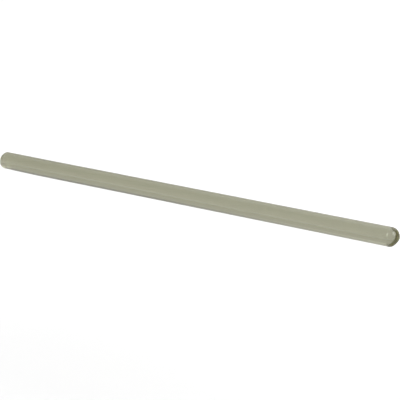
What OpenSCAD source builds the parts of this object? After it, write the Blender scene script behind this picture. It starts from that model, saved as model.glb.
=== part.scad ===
// Glass stirring rod: one length of solid drawn glass, cut to size, with both cut ends
// melted round in a flame. It lies along X, and the origin is on its axis, half way along.

/* [Rod] */
// Overall length, over both melted ends
rod_l = 157; // [60:1:400]
// Diameter of the drawn glass
rod_d = 6; // [3:0.5:12]

/* [Melted ends] */
// Diameter of the flat that the flame left on the +X end, 0 for a full dome
right_flat_d = 0.6; // [0:0.1:2.4]
// Diameter of the flat that the flame left on the -X end, 0 for a full dome
left_flat_d = 0.6; // [0:0.1:2.4]

/* [Hidden] */
$fn = 96;

rod_r = rod_d / 2;
// How far each melted end reaches back from its tip to the straight barrel
right_round = rod_r - right_flat_d / 2;
left_round = rod_r - left_flat_d / 2;
barrel_l = rod_l - right_round - left_round;

// Half section of a melted end, base on the X axis and tip along +Y: a quarter round
// of radius round_r, outside the flat that is left in the middle
module end_section(round_r) {
    flat_r = rod_r - round_r;
    intersection() {
        square([rod_r, round_r]);
        union() {
            translate([flat_r, 0]) circle(r = round_r);
            if (flat_r > 0) square([flat_r, round_r]);
        }
    }
}

// Half section of the whole rod, its axis along Y, turned once about that axis
module rod_section() {
    square([rod_r, barrel_l]);
    translate([0, barrel_l]) end_section(right_round);
    mirror([0, 1]) end_section(left_round);
}

module rod() {
    color("#A2A28E")
        translate([left_round - rod_l / 2, 0, 0])
            rotate([0, 90, 0])
                rotate_extrude()
                    rod_section();
}

rod();
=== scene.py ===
import math

import bpy
import numpy as np
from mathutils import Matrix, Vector


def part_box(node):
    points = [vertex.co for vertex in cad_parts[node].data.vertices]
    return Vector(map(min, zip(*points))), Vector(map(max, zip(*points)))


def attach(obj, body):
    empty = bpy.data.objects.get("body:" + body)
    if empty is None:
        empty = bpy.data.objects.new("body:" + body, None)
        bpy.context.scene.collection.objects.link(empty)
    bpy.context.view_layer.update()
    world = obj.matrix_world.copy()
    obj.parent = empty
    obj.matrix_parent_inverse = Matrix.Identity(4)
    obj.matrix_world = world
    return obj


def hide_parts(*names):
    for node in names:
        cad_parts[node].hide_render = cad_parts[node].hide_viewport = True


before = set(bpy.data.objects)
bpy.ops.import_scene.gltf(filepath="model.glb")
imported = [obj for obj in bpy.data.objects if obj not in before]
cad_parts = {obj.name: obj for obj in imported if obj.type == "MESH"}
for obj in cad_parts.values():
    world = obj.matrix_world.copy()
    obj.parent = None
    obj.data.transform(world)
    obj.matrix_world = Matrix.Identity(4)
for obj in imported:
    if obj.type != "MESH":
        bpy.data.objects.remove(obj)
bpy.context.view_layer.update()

# ---------------------------------------------------------------- camera and white table
# The rod is seen from a seated height over its nearer end, with a long lens. Under it is a white
# table, far enough down that the rod's shadow is spread too thin to notice.

TURN = math.radians(36.55)     # round from square-on, towards the +X end
HEIGHT = math.radians(15.76)   # above the table
DISTANCE = 0.5579              # metres from the middle of the rod
LENS, SENSOR = 156.4, 36.0     # millimetres: focal length, and the width of the sensor
NEAREST_SEEN = 0.01            # metres
AIM = (0.00618, 0.0, -0.0003)  # a little towards the nearer end, so that both tips are framed


def look_at(thing, place, aim):
    """Stand thing at place and point its own -Z axis at aim, with its X axis level."""
    thing.location = place
    thing.rotation_euler = (Vector(aim) - Vector(place)).to_track_quat("-Z", "Y").to_euler()


def out_from(turn, height, distance):
    """A point at that distance from the origin: turned from -Y towards +X, and raised."""
    flat = distance * math.cos(height)
    return (flat * math.sin(turn), -flat * math.cos(turn), distance * math.sin(height))


camera = bpy.data.objects.new("camera", bpy.data.cameras.new("camera"))
bpy.context.scene.collection.objects.link(camera)
bpy.context.scene.camera = camera
camera.data.sensor_width = SENSOR
camera.data.lens = LENS
camera.data.clip_start = NEAREST_SEEN
look_at(camera, out_from(TURN, HEIGHT, DISTANCE), AIM)


def linear(hex_colour):
    """An sRGB hex colour as linear red, green, blue and 1."""
    parts = [int(hex_colour[i:i + 2], 16) / 255 for i in (1, 3, 5)]
    return (*[p / 12.92 if p <= 0.04045 else ((p + 0.055) / 1.055) ** 2.4 for p in parts], 1.0)


def add(tree, kind, links=(), **settings):
    """Add a node of this kind: settings are its sockets' values or its own properties, with
    spaces written as _, and links are (socket, the output that feeds it) pairs."""
    node = tree.nodes.new(kind)
    for name, value in settings.items():
        socket = node.inputs.get(name.replace("_", " "))
        if socket is not None:
            socket.default_value = value
        else:
            setattr(node, name, value)
    for socket, source in links:
        tree.links.new(source, node.inputs[socket])
    return node


def material(name):
    """An empty node material and its tree."""
    made = bpy.data.materials.new(name)
    made.use_nodes = True
    made.node_tree.nodes.clear()
    return made, made.node_tree


def mesh_piece(name, points, faces, finish, smooth=True):
    """A piece at the origin with these points and faces, wearing one material."""
    mesh = bpy.data.meshes.new(name)
    mesh.from_pydata(points.tolist(), [], faces)
    mesh.update()
    mesh.polygons.foreach_set("use_smooth", np.full(len(mesh.polygons), smooth))
    mesh.materials.append(finish)
    piece = bpy.data.objects.new(name, mesh)
    bpy.context.scene.collection.objects.link(piece)
    return piece


# Matt white laminate: an even white with no gloss of its own.
white_laminate, tree = material("white laminate")
paint = add(tree, "ShaderNodeBsdfPrincipled", Base_Color=linear("#DCDCDC"), Roughness=0.6)
add(tree, "ShaderNodeOutputMaterial", [("Surface", paint.outputs[0])])

low, high = (np.array(corner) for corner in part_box("rod"))
HALF_TABLE = 3.0      # metres from the middle to an edge
TABLE_BELOW = 0.060   # metres under the lowest point of the rod
corners = np.array([(-1, -1), (1, -1), (1, 1), (-1, 1)]) * HALF_TABLE
table_top = np.column_stack((corners, np.full(4, low[2] - TABLE_BELOW)))
table = mesh_piece("table", table_top, [(0, 1, 2, 3)], white_laminate, smooth=False)

# ---------------------------------------------------------------- light
# A white tent round the table, which the camera itself sees as plain white. Three soft lights glow
# through it: a tall one in front, made of four round ones that overlap, one on the right and a
# weaker one high behind. It is open and dark on the left, and again behind on the left.

FRONT, BACK = 0.900, 0.933   # brightness of the tent in front of the rod, and behind it
FADE = 0.5                   # cosine with the Y axis beyond which it is all one or all the other
PATCHES = (
    # azimuth round from -Y towards +X, height, edge, all in degrees, and strength in the middle
    (-7.005, 21.58, 15.55, 1.977),
    (-8.627, 30.84, 15.55, 1.977),
    (-10.25, 40.11, 15.55, 1.977),
    (-11.87, 49.37, 15.55, 1.977),
    (104.1, 36.29, 29.82, 4.392),
    (218, 37.99, 18.84, -0.9),
    (281.7, 23.33, 46.32, -0.887),
    (191, 45.33, 36.17, 1.191),
)

world = bpy.data.worlds.new("studio")
bpy.context.scene.world = world
world.use_nodes = True
tree = world.node_tree
tree.nodes.clear()
way = add(tree, "ShaderNodeTexCoord").outputs["Generated"]


def nearness(direction, start, full, dim, bright):
    """A value that passes smoothly from dim to bright as the cosine of the angle between the way
    looked at and a direction rises from start to full: 3 t ** 2 - 2 t ** 3, for t from 0 to 1."""
    dot = add(tree, "ShaderNodeVectorMath", [(0, way)], operation="DOT_PRODUCT")
    dot.inputs[1].default_value = direction
    return add(tree, "ShaderNodeMapRange", [("Value", dot.outputs["Value"])],
               interpolation_type="SMOOTHSTEP", From_Min=start, From_Max=full,
               To_Min=dim, To_Max=bright).outputs["Result"]


total = nearness((0, 1, 0), -FADE, FADE, FRONT, BACK)
for azimuth, height, edge, strength in PATCHES:
    patch = nearness(out_from(math.radians(azimuth), math.radians(height), 1.0),
                     math.cos(math.radians(edge)), 1.0, 0.0, strength)
    total = add(tree, "ShaderNodeMath", [(0, total), (1, patch)], operation="ADD").outputs[0]
BRIGHTEST = 20.0      # above any sum of the lights: the lower limit of 0 is the one that is needed
total = add(tree, "ShaderNodeClamp", [("Value", total)], Min=0.0, Max=BRIGHTEST).outputs[0]
glow = add(tree, "ShaderNodeBackground", [("Strength", total)], Color=linear("#FFFFFF"))
plain = add(tree, "ShaderNodeBackground", Color=linear("#FFFFFF"))
seen = add(tree, "ShaderNodeLightPath").outputs["Is Camera Ray"]
tent = add(tree, "ShaderNodeMixShader", [(0, seen), (1, glow.outputs[0]), (2, plain.outputs[0])])
add(tree, "ShaderNodeOutputWorld", [("Surface", tent.outputs[0])])
bpy.context.scene.view_settings.view_transform = "Standard"
BOUNCES = 64          # light crosses a long rod many times before it comes out of an end
FILTER_WIDTH = 1.0    # narrower than the usual 1.5, for crisp edges
cycles = bpy.context.scene.cycles
cycles.filter_width = FILTER_WIDTH
cycles.max_bounces = cycles.transmission_bounces = cycles.glossy_bounces = BOUNCES

# ---------------------------------------------------------------- the rod
# One length of solid glass, drawn straight and cut to size. Both cut ends were turned in a flame
# until their edges ran together, and each was laid down before it was hard.

radius = (high[2] - low[2]) / 2
NEAR_CROWN, NEAR_KNUCKLE = 0.004262, 0.002733   # radii of the melted end's middle and of its edge
FAR_CROWN, FAR_KNUCKLE = 0.019588, 0.002602
NEAR_TIP, FAR_TIP = 0.000095, 0.000396          # how far the melt ran out past the rod's length
NEAR_LEAN = (0.0147, -0.0036)                   # slope of each cut, sideways and upwards
FAR_LEAN = (0.2120, -0.1671)
LEAN_FADES = 0.008                              # the barrel's rings straighten up over this length
NEAR_SWELL, NEAR_SWELL_LENGTH = 0.000018, 0.00403   # how much the melt thickened the rod, or
FAR_SWELL, FAR_SWELL_LENGTH = -0.000050, 0.00760    # thinned it, and over what length
NEAR_FLAT = (108.22, -42.66)                    # azimuth and height that a soft flat spot faces
NEAR_FLAT_DEPTH, NEAR_FLAT_SOFT = 0.000165, 0.000209
FAR_FLAT = (184.40, 51.61)
FAR_FLAT_DEPTH, FAR_FLAT_SOFT = 0.000191, 0.000171
FAR_BEND = (0.000097, 0.000192)                 # how far the soft tip bent, sideways and upwards
BEND_LENGTH = 0.02222
ROUND_THE_ROD = 240   # points in a ring
DOME_RINGS = 48
BARREL_RINGS = 160    # close together near both ends, so that the shading runs smoothly into them
SINK_STEPS = 8        # enough for a flat spot to settle


def melted_end(crown, knuckle):
    """The rings of a melted end, from the barrel to near the tip: how far each stands back from the
    tip, its radius, and the angle between the axis and the glass's outward normal there. An arc of
    radius knuckle leaves the barrel and runs smoothly into an arc of radius crown about the axis."""
    slope = np.linspace(np.pi / 2, 0, DOME_RINGS + 1)[:-1]
    reach = math.sqrt((crown - knuckle) ** 2 - (radius - knuckle) ** 2)
    on_edge = slope > math.atan2(radius - knuckle, reach)
    back = np.where(on_edge, crown - reach - knuckle * np.cos(slope), crown * (1 - np.cos(slope)))
    ring = np.where(on_edge, radius - knuckle + knuckle * np.sin(slope), crown * np.sin(slope))
    return back, ring, slope


def flattened(points, outward, facing, depth, soft):
    """Points moved inwards along their normals to a soft flat spot, whose plane lies depth below the
    highest point in the way that it faces. Each sinks by soft * ln(1 + exp(h / soft)). h is the
    sunk point's height above the plane plus how far it has sunk, so a few repeats settle it."""
    facing = np.array(out_from(*np.radians(facing), 1.0))
    above = points @ facing
    above -= above.max() - depth
    sink = np.zeros(len(points))
    for _ in range(SINK_STEPS):
        sink = soft * np.log1p(np.exp((above + sink * (1 - outward @ facing)) / soft))
    return points - sink[:, None] * outward


def rod_points():
    """Rings of points along X from the far end to the near end, then the two tips, and how many
    rings there are. Near each melted end the rings widen by its swell *
    exp(-(distance from the melt / swell length) ** 2) and are sheared along X by its lean. The far
    end is moved aside along a parabola, and then each end gets its flat spot."""
    near_back, near_ring, near_slope = melted_end(NEAR_CROWN, NEAR_KNUCKLE)
    far_back, far_ring, far_slope = melted_end(FAR_CROWN, FAR_KNUCKLE)
    near_tip, far_tip = high[0] + NEAR_TIP, low[0] - FAR_TIP
    far_x, near_x = (far_tip + far_back)[::-1], near_tip - near_back
    middle, half = (near_x[0] + far_x[-1]) / 2, (near_x[0] - far_x[-1]) / 2
    barrel = middle + half * np.sin(np.linspace(-np.pi / 2, np.pi / 2, BARREL_RINGS + 2)[1:-1])
    x = np.concatenate(([far_tip], far_x, barrel, near_x, [near_tip]))
    ring = np.concatenate(([0], far_ring[::-1], np.full(len(barrel), radius), near_ring, [0]))
    slope = np.concatenate(([np.pi], np.pi - far_slope[::-1], np.full(len(barrel), np.pi / 2),
                            near_slope, [0]))
    angle = np.arange(ROUND_THE_ROD) * 2 * np.pi / ROUND_THE_ROD
    across = np.stack((np.cos(angle), np.sin(angle)), -1)
    from_near, from_far = np.clip(near_x[0] - x, 0, None), np.clip(x - far_x[-1], 0, None)
    swell = 1 + NEAR_SWELL / radius * np.exp(-(from_near / NEAR_SWELL_LENGTH) ** 2)
    swell += FAR_SWELL / radius * np.exp(-(from_far / FAR_SWELL_LENGTH) ** 2)
    spread = (ring * swell)[:, None, None] * across
    along = x[:, None] + np.clip(1 - from_near / LEAN_FADES, 0, 1)[:, None] * (spread @ NEAR_LEAN)
    along = along - np.clip(1 - from_far / LEAN_FADES, 0, 1)[:, None] * (spread @ FAR_LEAN)
    points = np.concatenate((along[..., None], spread), -1)
    outward = np.concatenate((np.broadcast_to(np.cos(slope)[:, None, None], (*along.shape, 1)),
                              np.sin(slope)[:, None, None] * across), -1)
    soft = np.clip(1 - (points[..., 0] - low[0]) / BEND_LENGTH, 0, 1) ** 2
    points[..., 1:] += soft[..., None] * FAR_BEND
    for half_rod, *flat in ((x > 0, NEAR_FLAT, NEAR_FLAT_DEPTH, NEAR_FLAT_SOFT),
                            (x < 0, FAR_FLAT, FAR_FLAT_DEPTH, FAR_FLAT_SOFT)):
        sunk = flattened(points[half_rod].reshape(-1, 3), outward[half_rod].reshape(-1, 3), *flat)
        points[half_rod] = sunk.reshape(-1, ROUND_THE_ROD, 3)
    tips = points[[0, -1]].mean(1)
    return np.concatenate((points[1:-1].reshape(-1, 3), tips)), len(x) - 2


points, rings = rod_points()
n = ROUND_THE_ROD     # faces: a quad between neighbouring points of two rings, a fan round each tip
i, j = np.meshgrid(np.arange(rings - 1), np.arange(n), indexing="ij")
k = (j + 1) % n
quads = np.stack((i * n + j, i * n + k, (i + 1) * n + k, (i + 1) * n + j), -1).reshape(-1, 4)
first, last = rings * n, rings * n + 1
j = np.arange(n)
start = np.stack((np.full(n, first), (j + 1) % n, j), -1)
end = np.stack((np.full(n, last), (rings - 1) * n + j, (rings - 1) * n + (j + 1) % n), -1)
faces = quads.tolist() + start.tolist() + end.tolist()

# Drawn glass: clear, hard-edged highlights on a fire-smooth surface, and a grey-green body that
# turns olive where light runs far along the inside.
drawn_glass, tree = material("drawn glass")
GLASS_IOR = 1.5
glass = add(tree, "ShaderNodeBsdfPrincipled", Base_Color=linear("#A0A08C"), Roughness=0.03,
            IOR=GLASS_IOR, Transmission_Weight=1.0)
soak = add(tree, "ShaderNodeVolumeAbsorption", Color=linear("#E7E5BA"), Density=20.0)
add(tree, "ShaderNodeOutputMaterial", [("Surface", glass.outputs[0]), ("Volume", soak.outputs[0])])
rod = mesh_piece("glass_rod", points, faces, drawn_glass)
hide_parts("rod")
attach(rod, "root")
